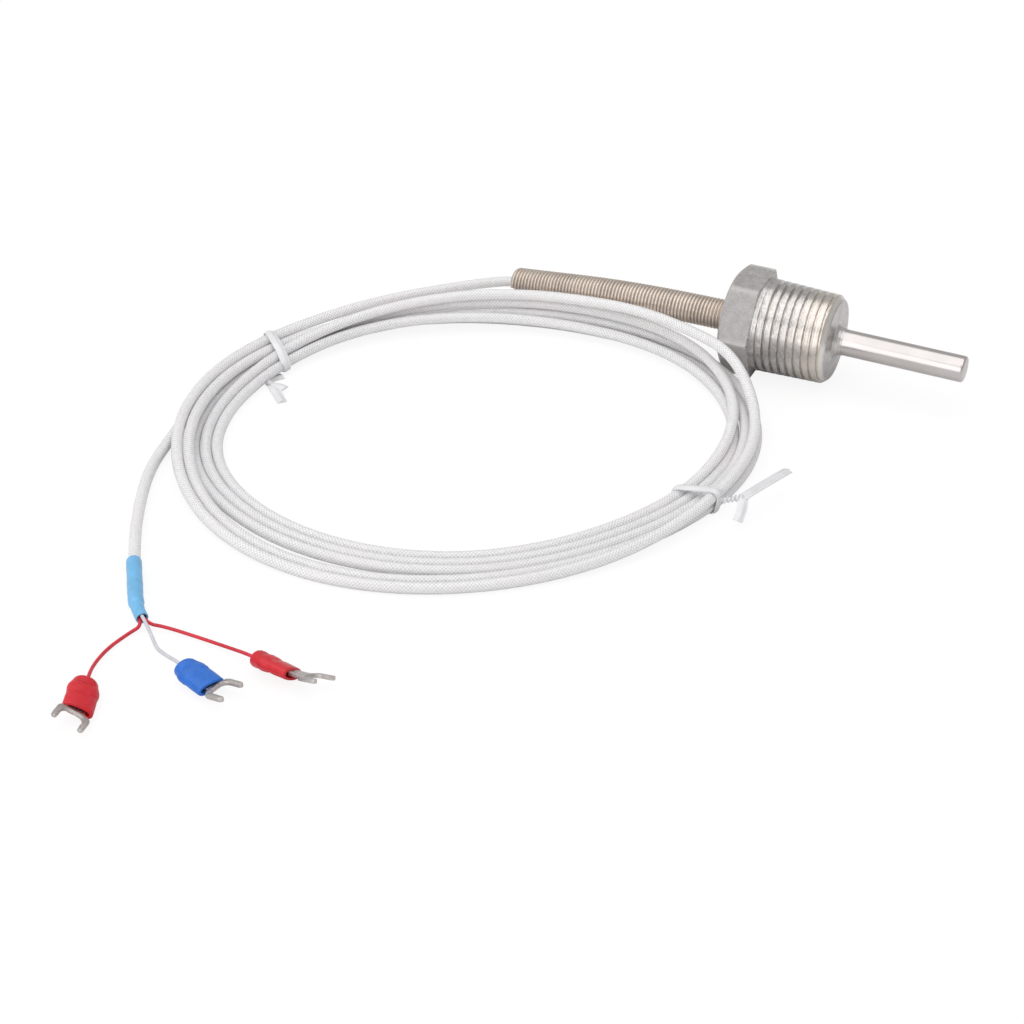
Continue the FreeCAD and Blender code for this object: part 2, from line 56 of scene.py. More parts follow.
# The cable starts in the fitting, runs inside the spring and leaves at its free end.
CABLE_START = ((8.0, 0.0, 11.0), (-20.0, 0.0, 11.0), (-54.458, 2.108, 6.033), (-58.41, 2.35, 5.463))

# The coil lies about an ellipse. Each pair is how far a turn lies outside it and how high its
# middle is, every 30 degrees, counted anticlockwise from above. One row is one turn.
COIL_MIDDLE = (-38.12, -60.55)
COIL_HALF_AXES = (61.4, 53.7)
COIL_TURNED = 48.4
COIL_FIRST_ANGLE = 120.0
COIL_SPREAD = 0.5
COIL_TURNS = (
    ((8.0, 5.0), (1.5, 5.4), (4.2, 4.3), (2.0, 4.0), (3.5, 1.5), (5.2, 1.3),
     (2.9, 1.3), (0.8, 1.8), (0.4, 3.6), (3.4, 5.3), (-3.4, 12.4), (-2.6, 8.4)),
    ((-1.5, 7.3), (-1.6, 5.2), (-2.3, 1.5), (-2.8, 1.4), (-5.5, 1.3), (-5.2, 1.3),
     (-4.6, 1.3), (-6.4, 1.3), (-3.5, 1.4), (-2.3, 1.5), (-2.0, 2.6), (-4.5, 2.5)),
    ((-4.1, 3.7), (-2.6, 3.0), (-4.8, 1.3), (-5.3, 1.3), (-7.9, 1.3), (-7.7, 1.3),
     (-7.1, 1.3), (-8.9, 1.3), (-6.0, 1.3), (-1.9, 3.8), (0.8, 5.8), (-1.8, 6.1)),
    ((-1.5, 5.3), (0.0, 3.3), (1.4, 3.7), (-0.3, 3.6), (1.2, 1.6), (2.7, 1.3),
     (0.4, 1.3), (-1.4, 1.3), (1.4, 1.4), (3.1, 1.6), (1.2, 3.7), (-2.0, 3.7)),
    ((-1.6, 3.3), (-1.2, 1.3), (0.2, 1.3), (-0.6, 1.3), (-3.1, 1.3), (-2.7, 1.3),
     (-2.1, 1.3), (-3.9, 1.3), (-1.0, 1.3), (0.4, 3.3), (0.4, 1.5), (-2.3, 1.3)),
    ((-1.2, 1.3), (1.4, 1.3), (2.6, 1.3)),
)
# Where the first turn rises past the fitting's corner: its angle, and how it lies there.
COIL_RISE = (405.0, (0.5, 11.0))
# The turns settle in steps of this many degrees, with one step put in between each two pairs.
COIL_STEP = 15.0
COIL_STEPS_PER_TURN = 24
# How the turns settle: rounds, the least distance between turns, the share of an overlap that one
# round takes up, the share that evens out neighbouring points, and how low the cable's middle may lie.
SETTLE_ROUNDS = 250
SETTLE_APART = 2.5
SETTLE_PUSH = 0.25
SETTLE_EVEN = 0.002
CABLE_LOWEST = 1.24
# Angles at which a tie passes under the coil, how far it lifts the turns, and over how many degrees.
TIE_ANGLES = (162.0, 355.0)
TIE_LIFT = 0.4
TIE_LIFT_SPAN = 11.0
CABLE_TAIL = ((-97.6, -79.8, 1.25), (-95.6, -91.0, 1.25), (-93.2, -103.5, 1.25), (-87.4, -117.0, 1.28),
              (-79.5, -131.8, 1.68), (-70.74, -145.19, 1.68))

SHRINK_START = (-77.419, -134.98, 1.68)
SHRINK_BEND = (-68.55, -148.54, 1.68)
SHRINK_END = (-65.52, -151.15, 1.68)

LEADS = {
    "lead_red_left": ((-71.13, -145.44, 1.42), (-68.92, -148.8, 1.42), (-64.46, -152.67, 1.42),
                      (-66.2, -155.4, 0.5), (-67.2, -161.0, 0.42), (-66.4, -167.0, 0.9)),
    "lead_white": ((-70.74, -145.19, 2.21), (-68.55, -148.54, 2.21), (-64.16, -152.33, 2.21),
                   (-61.4, -154.4, 0.7), (-58.9, -156.9, 0.42), (-56.0, -158.2, 0.6)),
    "lead_red_right": ((-70.36, -144.94, 1.42), (-68.18, -148.28, 1.42), (-63.86, -151.98, 1.42),
                       (-61.0, -150.7, 0.9), (-53.5, -150.4, 0.5), (-46.6, -151.2, 0.9)),
}
# Each terminal has the middle of its sleeve's back end, its heading and its roll in degrees, how far
# its fork is bent sideways and upwards and twisted in degrees, how far it is drawn out, and its lead.
TERMINALS = {
    "left": ((-63.7, -173.5, 2.1), 292.0, -26.0, (-13.0, 6.0, 0.0, 0.0), "lead_red_left"),
    "middle": ((-50.5, -161.0, 1.78), 337.0, 0.0, (12.0, 11.0, 0.0, 0.0), "lead_white"),
    "right": ((-39.3, -153.3, 2.25), 350.0, -32.0, (-6.0, 12.0, 9.0, 2.6), "lead_red_right"),
}
# Each twist tie has the middle of its loop, the heading of the loop's plane, the start and the end of
# its knot, and the points of each loose run of its strip.
TIES = {
    "rear": ((-92.5, -49.5), 142.0, (-89.6, -59.2, 0.9), (-87.4, -60.4, 0.9),
             ((-87.4, -60.4, 0.9), (-86.0, -59.9, 1.2), (-84.2, -60.4, 1.0)),
             ((-87.4, -60.4, 0.9), (-85.4, -62.4, 0.9), (-82.4, -65.0, 0.4)),
             ((-88.2, -54.4, 0.2), (-90.0, -57.0, 0.2), (-89.6, -59.2, 0.9))),
    "front": ((16.5, -63.5), -8.0, (21.4, -65.6, 4.4), (25.4, -63.6, 5.2),
              ((25.4, -63.6, 5.2), (27.6, -58.0, 5.6), (30.2, -48.4, 4.6)),
              ((25.4, -63.6, 5.2), (26.4, -65.6, 4.0), (26.0, -68.0, 2.0))),
}
CAMERA_PLACE = (141.96, -458.91, 264.01)
CAMERA_RIGHT = (0.920, 0.392, 0.0)
CAMERA_TILT = 32.85
CAMERA_ROLL = 1.866
CAMERA_LENS = 82.19
# Each lamp has its place, its size in metres and its power in watts.
LAMPS = {
    "key light": ((-260.0, -210.0, 1190.0), 1.8, 9.7),
    "front light": ((-260.0, -1150.0, 350.0), 0.95, 3.2),
}
LAMP_AIM = (-30.0, -70.0, 0.0)
# The world's strength as light, as the camera sees it, and what is added to it in reflections.
WORLD_LIGHT = 0.52
WORLD_SEEN = 1.0
WORLD_GLOSS = -0.02
# The floor's reach and height, and the share and strength of the plain white that the camera sees on it.
FLOOR_REACH = 3000.0
FLOOR_UP = -0.1
FLOOR_SHARE = 0.82
FLOOR_WHITE = 1.07


def tint(red, green, blue):
    """Scene colour of a shade given as display values from 0 to 255."""
    def linear(value):
        value /= 255
        return value / 12.92 if value <= 0.04045 else ((value + 0.055) / 1.055) ** 2.4
    return linear(red), linear(green), linear(blue), 1.0


def length_property(label, text, millimetres):
    return bpy.props.FloatProperty(name=label, description=text, default=millimetres / 1000, min=0.0,
                                   unit="LENGTH", subtype="DISTANCE", precision=5)


def colour_property(label, text, shade):
    return bpy.props.FloatVectorProperty(name=label, description=text, default=tint(*shade), size=4,
                                         min=0.0, max=1.0, subtype="COLOR")


class SensorSizes(bpy.types.PropertyGroup):
    """Sizes of the sensor's pieces"""
    hex_flats: length_property("Hexagon", "Distance across the flats of the hexagon", 22.0)
    thread_pitch: length_property("Thread pitch", "Distance between neighbouring thread crests", 1.814)
    thread_floor: length_property("Thread floor", "Diameter at the floor of the thread's groove", 19.2)
    probe_diameter: length_property("Probe", "Outside diameter of the probe's sheath", 6.0)
    spring_diameter: length_property("Spring", "Outside diameter of the spring", 7.0)
    spring_wire: length_property("Spring wire", "Diameter of the spring's wire", 0.82)
    cable_diameter: length_property("Cable", "Outside diameter of the cable", 2.45)
    shrink_diameter: length_property("Shrink sleeve", "Outside diameter of the shrink sleeve", 3.15)
    lead_diameter: length_property("Lead", "Outside diameter of each lead", 0.72)
    tie_width: length_property("Tie", "Width of a twist tie", 2.2)


class SensorColours(bpy.types.PropertyGroup):
    """Colours of the sensor's pieces"""
    fitting: colour_property("Fitting", "Bare steel of the fitting", (228, 224, 222))
    probe: colour_property("Probe", "Polished steel of the probe", (216, 210, 208))
    spring: colour_property("Spring", "Steel of the spring", (228, 216, 205))
    cable: colour_property("Cable", "Clear jacket over the cable's braid", (240, 237, 239))
    shrink: colour_property("Shrink sleeve", "Shrink sleeve where the cable divides", (122, 196, 246))
    red: colour_property("Red", "Red terminal sleeves", (224, 20, 40))
    red_lead: colour_property("Red lead", "Red leads", (232, 52, 70))
    blue: colour_property("Blue", "Blue terminal sleeve", (34, 116, 220))
    white: colour_property("White", "White lead", (220, 219, 227))
    tin: colour_property("Tin", "Tinned copper of the forks", (216, 209, 206))
    tie: colour_property("Tie", "Plastic skin of the twist ties", (244, 244, 246))


def metres(point):
    return Vector(point) * 0.001


def alone(obj):
    """Leaves this object as the only one selected, and active."""
    bpy.ops.object.select_all(action="DESELECT")
    obj.select_set(True)
    bpy.context.view_layer.objects.active = obj


def linked(name, data):
    """A new object of the scene that shows this mesh, curve, light or camera."""
    obj = bpy.data.objects.new(name, data)
    bpy.context.scene.collection.objects.link(obj)
    return obj


def mesh_object(name, points, edges=(), faces=()):
    mesh = bpy.data.meshes.new(name)
    mesh.from_pydata([tuple(p) for p in points], list(edges), list(faces))
    return linked(name, mesh)


def shaped_object(name, shape):
    """Turns a finished bmesh into an object, with its faces outwards."""
    bmesh.ops.recalc_face_normals(shape, faces=shape.faces)
    mesh = bpy.data.meshes.new(name)
    shape.to_mesh(mesh)
    shape.free()
    return linked(name, mesh)


def edit_all(obj, operator, **settings):
    """Runs a mesh operator on the whole of an object."""
    alone(obj)
    bpy.ops.object.mode_set(mode="EDIT")
    bpy.ops.mesh.select_all(action="SELECT")
    operator(**settings)
    bpy.ops.object.mode_set(mode="OBJECT")


def close_up(obj):
    """Merges what meets and turns all faces outwards."""
    edit_all(obj, bpy.ops.mesh.remove_doubles, threshold=2e-6)
    edit_all(obj, bpy.ops.mesh.normals_make_consistent, inside=False)


def lathe(name, profile, steps, ring=False):
    """Spins a profile of (x, radius) about the sensor's axis."""
    points = [metres((x, 0.0, AXIS_UP + radius)) for x, radius in profile]
    edges = [(i, i + 1) for i in range(len(points) - 1)]
    if ring:
        edges.append((len(points) - 1, 0))
    obj = mesh_object(name, points, edges)
    edit_all(obj, bpy.ops.mesh.spin, steps=steps, angle=math.tau, center=metres((0.0, 0.0, AXIS_UP)),
             axis=(1.0, 0.0, 0.0))
    close_up(obj)
    return obj


def use_modifier(obj, kind, **settings):
    alone(obj)
    modifier = obj.modifiers.new(kind.title(), kind)
    for setting, value in settings.items():
        setattr(modifier, setting, value)
    bpy.ops.object.modifier_apply(modifier=modifier.name)


def join(name, objects):
    alone(objects[0])
    for obj in objects[1:]:
        obj.select_set(True)
    bpy.ops.object.join()
    objects[0].name = objects[0].data.name = name
    return objects[0]


def place_piece(obj, degrees, finish, slot_name, *nodes):
    """Smooths a piece, gives it its finish, fixes it to the sensor and lets it stand for CAD nodes."""
    alone(obj)
    bpy.ops.object.shade_smooth_by_angle(angle=math.radians(degrees))
    obj.data.materials.clear()
    obj.data.materials.append(finish)
    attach(obj, "root")
    if nodes:
        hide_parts(*nodes)


def spline_line(points, resolution):
    """Points along a smooth spline that has these points as its control points."""
    curve = bpy.data.curves.new("route", "CURVE")
    curve.dimensions = "3D"
    curve.resolution_u = resolution
    spline = curve.splines.new("NURBS")
    spline.points.add(len(points) - 1)
    for knot, point in zip(spline.points, points):
        knot.co = (*metres(point), 1.0)
    spline.order_u = 3
    spline.use_endpoint_u = True
    holder = linked("route", curve)
    bpy.context.view_layer.update()
    line = bpy.data.meshes.new_from_object(holder)
    found = [vertex.co.copy() for vertex in line.vertices]
    bpy.data.objects.remove(holder)
    bpy.data.curves.remove(curve)
    bpy.data.meshes.remove(line)
    kept = found[:1]
    for point in found[1:]:
        if (point - kept[-1]).length > 1e-6:
            kept.append(point)
    return kept


def carried_frames(line):
    """Heading, side and rise at each point of a line, carried along it without twist."""
    frames = []
    rise = Vector((0.0, 0.0, 1.0))
    for i, point in enumerate(line):
        heading = (line[min(i + 1, len(line) - 1)] - line[max(i - 1, 0)]).normalized()
        rise = (rise - heading * rise.dot(heading)).normalized()
        frames.append((point, heading, heading.cross(rise).normalized(), rise))
    return frames


def runs_of(line):
    """Length run up to each point of a line."""
    runs = [0.0]
    for a, b in zip(line, line[1:]):
        runs.append(runs[-1] + (b - a).length)
    return runs


def skinned(shape, rings, capped=True):
    """Rows of faces between neighbouring rings of points, with the two ends closed."""
    count = len(rings[0])
    rows = [[shape.faces.new((a[k], a[(k + 1) % count], b[(k + 1) % count], b[k])) for k in range(count)]
            for a, b in zip(rings, rings[1:])]
    if capped:
        shape.faces.new(list(reversed(rings[0])))
        shape.faces.new(rings[-1])
    return rows


def swept(name, line, section, frames=None, capped=True):
    """Skins a line. section gives the outline at a point, as (side, rise) pairs, from its run."""
    shape = bmesh.new()
    around = shape.loops.layers.uv.new("lay")
    runs = runs_of(line)
    rings = [[shape.verts.new(point + side * s + rise * r) for s, r in section(run)]
             for (point, _, side, rise), run in zip(frames or carried_frames(line), runs)]
    for i, row in enumerate(skinned(shape, rings, capped)):
        for k, face in enumerate(row):
            corners = ((k, i), (k + 1, i), (k + 1, i + 1), (k, i + 1))
            for loop, (turn, at) in zip(face.loops, corners):
                loop[around].uv = (turn / len(row), runs[at])
    return shaped_object(name, shape)


def round_section(radius, sides):
    ring = [(math.cos(math.tau * k / sides), math.sin(math.tau * k / sides)) for k in range(sides)]
    return [(radius * c, radius * s) for c, s in ring]


def signed_power(value, power):
    """A sine or cosine raised to a power, with its sign kept. Below 1 it makes a ring squarer."""
    return math.copysign(abs(value) ** power, value)


def coil_point(angle, out, up):
    """A point of the coil, from its angle about the middle and its place in the section."""
    turn = math.radians(angle - COIL_TURNED)
    along, across = COIL_HALF_AXES
    normal = Vector((math.cos(turn) / along, math.sin(turn) / across, 0.0)).normalized()
    place = Vector((along * math.cos(turn), across * math.sin(turn), 0.0)) + normal * out
    place = Matrix.Rotation(math.radians(COIL_TURNED), 3, "Z") @ place
    return Vector((*COIL_MIDDLE, up)) + place


def settled(laid, angles):
    """Pushes turns apart where they overlap, and lets none sink into the floor."""
    for _ in range(SETTLE_ROUNDS):
        for i in range(len(laid)):
            for j in range(i + COIL_STEPS_PER_TURN, len(laid), COIL_STEPS_PER_TURN):
                apart = laid[j] - laid[i]
                push = apart.normalized() * max(0.0, SETTLE_APART - apart.length) * SETTLE_PUSH
                laid[i] -= push
                laid[j] += push
        for i in range(1, len(laid) - 1):
            laid[i] += (laid[i - 1] + laid[i + 1] - laid[i] * 2) * SETTLE_EVEN
        for place, angle in zip(laid, angles):
            away = [(angle - tie + 180) % 360 - 180 for tie in TIE_ANGLES]
            lift = sum(TIE_LIFT * math.exp(-(a / TIE_LIFT_SPAN) ** 2) for a in away)
            place.y = max(place.y, CABLE_LOWEST + lift)
    return laid


def cable_line():
    """Points along the whole cable, from the fitting to the shrink sleeve."""
    rough = [Vector(pair) for turn in COIL_TURNS for pair in turn]
    ends = [rough[0] * 2 - rough[1]] + rough + [rough[-1] * 2 - rough[-2]]
    laid = rough[:1]
    for i in range(len(rough) - 1):
        laid.append(((rough[i] + rough[i + 1]) * 9 - ends[i] - ends[i + 3]) / 16)
        laid.append(rough[i + 1])
    angles = [COIL_FIRST_ANGLE + COIL_STEP * i for i in range(len(laid))]
    laid = settled(laid, angles)
    laid[angles.index(COIL_RISE[0])] = Vector(COIL_RISE[1])
    coil = [coil_point(angle, place.x + COIL_SPREAD, place.y) for angle, place in zip(angles, laid)]
    return spline_line([*CABLE_START, *coil, *CABLE_TAIL], 14)


def terminal_place(name):
    back, heading, roll = TERMINALS[name][:3]
    turn = Matrix.Rotation(math.radians(heading), 4, "Z") @ Matrix.Rotation(math.radians(roll), 4, "X")
    return Matrix.Translation(metres(back)) @ turn


class Nodes:
    """A short way to lay out the nodes of one material or group."""

    def __init__(self, tree):
        self.tree = tree

    def add(self, kind, settings=None, **inputs):
        node = self.tree.nodes.new(kind)
        for setting, value in (settings or {}).items():
            setattr(node, setting, value)
        for label, value in inputs.items():
            self.feed(node.inputs[label.replace("_", " ")], value)
        return node

    def feed(self, socket, value):
        if isinstance(value, bpy.types.NodeSocket):
            self.tree.links.new(value, socket)
        else:
            socket.default_value = value

    def numbered(self, node, sockets, values, result=0):
        for socket, value in zip(sockets, values):
            self.feed(node.inputs[socket], value)
        return node.outputs[result]

    def maths(self, operation, first, second=0.0, third=0.0):
        node = self.add("ShaderNodeMath", {"operation": operation})
        return self.numbered(node, (0, 1, 2), (first, second, third))

    def mixed(self, share, first, second):
        """Mixes two colours."""
        node = self.add("ShaderNodeMix", {"data_type": "RGBA"})
        return self.numbered(node, (0, 6, 7), (share, first, second), 2)

    def between(self, share, first, second):
        """Mixes two numbers."""
        return self.numbered(self.add("ShaderNodeMix"), (0, 2, 3), (share, first, second))

    def times(self, value, factor):
        return self.maths("MULTIPLY", value, factor)

    def noise(self, place, scale, detail, **inputs):
        node = self.add("ShaderNodeTexNoise", Vector=place, Scale=scale, Detail=detail, **inputs)
        return node.outputs["Fac"]

    def split(self, vector):
        return self.add("ShaderNodeSeparateXYZ", Vector=vector).outputs

    def stretched(self, across, across_by, along, along_by):
        node = self.add("ShaderNodeCombineXYZ", X=self.times(across, across_by),
                        Y=self.times(along, along_by), Z=0.0)
        return node.outputs["Vector"]

    def ranged(self, value, low, high, to_low=0.0, to_high=1.0):
        node = self.add("ShaderNodeMapRange", {"interpolation_type": "SMOOTHSTEP"}, Value=value,
                        From_Min=low, From_Max=high, To_Min=to_low, To_Max=to_high)
        return node.outputs["Result"]

    def group(self, tree, **inputs):
        return self.add("ShaderNodeGroup", {"node_tree": tree}, **inputs).outputs


def new_group(name, inputs, outputs):
    tree = bpy.data.node_groups.new(name, "ShaderNodeTree")
    for way, sockets in (("INPUT", inputs), ("OUTPUT", outputs)):
        for label, kind in sockets.items():
            tree.interface.new_socket(label, in_out=way, socket_type="NodeSocket" + kind)
    nodes = Nodes(tree)
    return nodes, nodes.add("NodeGroupInput").outputs, nodes.add("NodeGroupOutput")


def mottle_group():
    """Two shades of a colour in soft patches, with fine grain between them."""
    name = "soft mottle"
    if name in bpy.data.node_groups:
        return bpy.data.node_groups[name]
    nodes, given, result = new_group(
        name, {"Place": "Vector", "Light": "Color", "Dark": "Color", "Patch": "Float", "Grain": "Float",
               "Grain Share": "Float"}, {"Color": "Color", "Height": "Float"})
    soft = nodes.ranged(nodes.noise(given["Place"], given["Patch"], 3.0), 0.35, 0.65)
    fine = nodes.ranged(nodes.noise(given["Place"], given["Grain"], 4.0, Roughness=0.7), 0.3, 0.7)
    share = nodes.times(nodes.maths("SUBTRACT", fine, soft), given["Grain Share"])
    share = nodes.maths("ADD", soft, share)
    nodes.feed(result.inputs["Color"], nodes.mixed(share, given["Dark"], given["Light"]))
    nodes.feed(result.inputs["Height"], fine)
    return nodes.tree


def axis_group():
    """Distance from the sensor's axis, the turn about it, and a mask that grows with the distance."""
    name = "about the axis"
    if name in bpy.data.node_groups:
        return bpy.data.node_groups[name]
    nodes, given, result = new_group(
        name, {"Place": "Vector", "Near": "Float", "Far": "Float"},
        {"Radius": "Float", "Turn": "Float", "Along": "Float", "Mask": "Float"})
    parts = nodes.split(given["Place"])
    rise = nodes.maths("SUBTRACT", parts["Z"], AXIS_UP / 1000)
    square = nodes.maths("ADD", nodes.times(parts["Y"], parts["Y"]), nodes.times(rise, rise))
    radius = nodes.maths("SQRT", square)
    found = {"Radius": radius, "Turn": nodes.maths("ARCTAN2", rise, parts["Y"]), "Along": parts["X"],
             "Mask": nodes.ranged(radius, given["Near"], given["Far"])}
    for label, value in found.items():
        nodes.feed(result.inputs[label], value)
    return nodes.tree


def bare_nodes(holder):
    """The emptied nodes of a material or a world."""
    holder.use_nodes = True
    holder.node_tree.nodes.clear()
    return Nodes(holder.node_tree)


def new_finish(name, roughness=0.4, metallic=0.0, **values):
    """An empty finish with its shader, and the object's own coordinates."""
    finish = bpy.data.materials.new(name)
    nodes = bare_nodes(finish)
    shader = nodes.add("ShaderNodeBsdfPrincipled", Roughness=roughness, Metallic=metallic, **values)
    nodes.add("ShaderNodeOutputMaterial", Surface=shader.outputs["BSDF"])
    place = nodes.add("ShaderNodeTexCoord").outputs
    return finish, nodes, shader, place


def surface(nodes, shader, colour, rough, height, distance, strength=1.0):
    """Feeds the shader its colour, its roughness, and a relief as deep as distance, in metres."""
    relief = nodes.add("ShaderNodeBump", Height=height, Distance=distance, Strength=strength)
    for label, value in (("Base Color", colour), ("Roughness", rough), ("Normal", relief.outputs["Normal"])):
        nodes.feed(shader.inputs[label], value)


def darker(colour, share):
    return colour[0] * share, colour[1] * share, colour[2] * share, 1.0


def mottled(nodes, place, colour, share, patch, grain, grain_share=0.3):
    """Colour and height of a surface in two shades of one colour."""
    return nodes.group(mottle_group(), Place=place["Object"], Light=tuple(colour),
                       Dark=darker(colour, share), Patch=patch, Grain=grain, Grain_Share=grain_share)


def mottled_finish(name, colour, share=0.8, patch=300.0, grain=3000.0, depth=0.00002,
                   rough=(0.35, 0.55), **values):
    """A plain moulded or drawn surface: soft patches of shade, fine grain, uneven gloss."""
    if name in bpy.data.materials:
        return bpy.data.materials[name]
    finish, nodes, shader, place = new_finish(name, **values)
    spots = mottled(nodes, place, colour, share, patch, grain)
    gloss = nodes.ranged(spots["Height"], 0.0, 1.0, *rough)
    surface(nodes, shader, spots["Color"], gloss, spots["Height"], depth)
    return finish


def lead_finish(colours, name):
    """Skin of a lead or core, red or white as its name says."""
    if "red" in name:
        return mottled_finish("red lead skin", colours.red_lead)
    return mottled_finish("white lead skin", colours.white, 0.9)


def fitting_finish(colours):
    """Cast and turned steel: rough flats, painted light on the flats towards the coil, bright worn corners,
    tool lines round the thread.
    """
    finish, nodes, shader, place = new_finish("fitting steel", metallic=1.0)
    spots = mottled(nodes, place, colours.fitting, 0.66, 620.0, 2600.0, 0.6)
    about = nodes.group(axis_group(), Place=place["Object"], Near=0.01205, Far=0.01262)
    turned = nodes.ranged(about["Along"], 0.0074, 0.0076)
    lines = nodes.add("ShaderNodeTexNoise", {"noise_dimensions": "1D"}, Scale=9000.0, Detail=2.0,
                      W=about["Along"]).outputs["Fac"]
    # A warm cast grows along the thread towards the nose. The groove's floor is painted paler, a painted
    # light that lifts the shade in the thread's grooves.
    warm = nodes.times(nodes.ranged(about["Along"], 0.0145, 0.0225, 0.0, 0.5),
                       nodes.ranged(about["Radius"], 0.0092, 0.0096))
    tone = nodes.mixed(warm, spots["Color"], tint(238, 228, 215))
    crest = nodes.maths("MULTIPLY_ADD", about["Along"], -THREAD_TAPER, 0.01098)
    groove = nodes.ranged(nodes.maths("SUBTRACT", crest, about["Radius"]), 0.00005, 0.0004)
    groove = nodes.times(groove, nodes.ranged(about["Radius"], 0.0092, 0.0095, 0.0, 0.35))
    # Painted light: the groove's floor and lower flanks are tinted paler against their shade.
    tone = nodes.mixed(groove, tone, tint(255, 252, 248))
    # The flats towards the coil are left as cast, less metallic, and get a paler tint as painted light,
    # since they face the front lamp and the camera; the corners are worn bright.
    facing = nodes.split(place["Normal"])["Y"]
    cast_and_painted_light = nodes.times(nodes.ranged(facing, -0.72, -0.82), nodes.maths("SUBTRACT", 1.0, turned))
    # Painted light: the flats that face the front lamp and the camera are tinted paler.
    tone = nodes.mixed(nodes.times(cast_and_painted_light, 0.3), tone, tint(250, 247, 246))
    tone = nodes.mixed(nodes.times(about["Mask"], 0.8), tone, tint(250, 247, 244))
    rough = nodes.between(turned, nodes.ranged(spots["Height"], 0.0, 1.0, 0.3, 0.46),
                          nodes.ranged(lines, 0.3, 0.7, 0.16, 0.28))
    nodes.feed(shader.inputs["Metallic"], nodes.between(turned, nodes.between(cast_and_painted_light, 0.72, 0.42), 1.0))
    height = nodes.between(turned, spots["Height"], nodes.times(lines, 0.18))
    surface(nodes, shader, tone, rough, height, 0.0002)
    return finish


def steel_finish(name, colour, shade, rough):
    """Drawn or polished steel with fine lines along it and soft patches of shade."""
    finish, nodes, shader, place = new_finish(name, metallic=1.0)
    about = nodes.group(axis_group(), Place=place["Object"], Near=0.0, Far=0.01)
    lines = nodes.noise(nodes.stretched(about["Along"], 60.0, about["Turn"], 6.0), 3.0, 5.0)
    spots = mottled(nodes, place, colour, shade, 160.0, 2400.0, 0.2)
    surface(nodes, shader, spots["Color"], nodes.ranged(lines, 0.3, 0.7, *rough), lines, 0.00001)
    return finish


def cable_finish(colours):
    """Clear jacket over a fine braid: crossing strands, long pale streaks, a faint warm cast and painted
    shade towards the rims.
    """
    finish, nodes, shader, place = new_finish(
        "clear jacket over braid", roughness=0.3, Coat_Weight=0.35, Coat_Roughness=0.12,
        Subsurface_Weight=0.85, Subsurface_Scale=0.003)
    shader.inputs["Subsurface Radius"].default_value = (1.0, 0.95, 0.9)
    parts = nodes.split(place["UV"])
    turn = nodes.times(parts["X"], 18.0)
    run = nodes.times(parts["Y"], 2600.0)
    one = nodes.maths("PINGPONG", nodes.maths("ADD", turn, run), 1.0)
    two = nodes.maths("PINGPONG", nodes.maths("SUBTRACT", turn, run), 1.0)
    specks = nodes.noise(place["Object"], 1300.0, 2.0)
    crossing = nodes.maths("MULTIPLY_ADD", one, two, nodes.times(specks, 0.5))
    weave = nodes.ranged(crossing, 0.15, 0.7)
    streaks = nodes.noise(nodes.stretched(parts["X"], 9.0, parts["Y"], 26.0), 1.0, 3.0)
    patches = nodes.noise(place["Object"], 55.0, 2.0)
    painted_rim_shade = nodes.add("ShaderNodeLayerWeight", Blend=0.35).outputs["Facing"]
    pale = tuple(colours.cable)
    tone = nodes.mixed(weave, darker(pale, 0.8), tint(254, 253, 253))
    tone = nodes.mixed(nodes.ranged(streaks, 0.45, 0.25, 0.0, 0.5), tone, darker(pale, 0.8))
    tone = nodes.mixed(nodes.ranged(streaks, 0.55, 0.75, 0.0, 0.6), tone, tint(253, 252, 252))
    tone = nodes.mixed(nodes.ranged(patches, 0.5, 0.75, 0.0, 0.25), tone, tint(244, 232, 232))
    # Painted shade: the strand darkens towards its rims, where it turns away from the view.
    tone = nodes.mixed(nodes.ranged(painted_rim_shade, 0.5, 0.95, 0.0, 0.4), tone, darker(pale, 0.78))
    surface(nodes, shader, tone, nodes.ranged(streaks, 0.3, 0.7, 0.26, 0.42), weave, 0.00003, 0.6)
    return finish


def tie_finish(colours):
    """Thin plastic skin over a paper strip, with lengthwise creases."""
    finish, nodes, shader, place = new_finish("tie skin", roughness=0.35, Coat_Weight=0.15)
    parts = nodes.split(place["UV"])
    creases = nodes.noise(nodes.stretched(parts["X"], 40.0, parts["Y"], 180.0), 1.0, 3.0)
    spots = mottled(nodes, place, colours.tie, 0.88, 240.0, 2500.0)
    rough = nodes.ranged(creases, 0.3, 0.7, 0.28, 0.45)
    surface(nodes, shader, spots["Color"], rough, creases, 0.00005, 0.7)
    return finish


